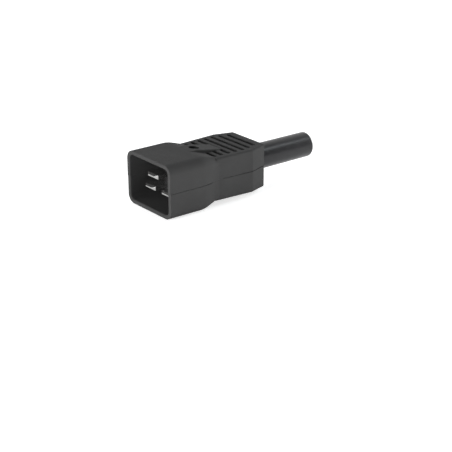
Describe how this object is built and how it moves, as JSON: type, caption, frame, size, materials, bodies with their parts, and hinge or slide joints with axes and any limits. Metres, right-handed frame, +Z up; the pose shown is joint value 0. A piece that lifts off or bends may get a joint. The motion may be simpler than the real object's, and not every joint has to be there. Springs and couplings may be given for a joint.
{
  "type": "rewireable power plug",
  "caption": "Rewireable cord plug with flat pins in a rounded rectangular shroud, a grooved two-part grip and a round bend-relief boot for the cord.",
  "frame": {"origin": "centre of the shroud's mouth, in the plane of its rim", "axes": "+X from the mouth back towards the cord, +Y across, +Z up, with the earth pin above"},
  "size_m": [0.097, 0.0342, 0.0262],
  "materials": {
    "housing_plastic": "satin black, lightly textured",
    "carrier_plastic": "plain black",
    "boot_rubber": "smooth soft black",
    "plated_pin": "nickel plated",
    "terminal_brass": "bare, turned",
    "guard_steel": "spring steel",
    "screw_steel": "zinc plated"
  },
  "bodies": {
    "root": {"upper_shell": "housing_plastic", "lower_shell": "housing_plastic", "contact_carrier": "carrier_plastic", "cord_clamp_bar": "carrier_plastic", "bend_relief_boot": "boot_rubber", "earth_pin": "plated_pin", "line_pin": "plated_pin", "neutral_pin": "plated_pin", "earth_terminal": "terminal_brass", "line_terminal": "terminal_brass", "neutral_terminal": "terminal_brass", "earth_wire_guard": "guard_steel", "line_wire_guard": "guard_steel", "neutral_wire_guard": "guard_steel", "earth_terminal_screw": "screw_steel", "line_terminal_screw": "screw_steel", "neutral_terminal_screw": "screw_steel", "housing_screw": "screw_steel", "housing_nut": "screw_steel", "cord_clamp_screw_left": "screw_steel", "cord_clamp_screw_right": "screw_steel"}
  },
  "joints": []
}
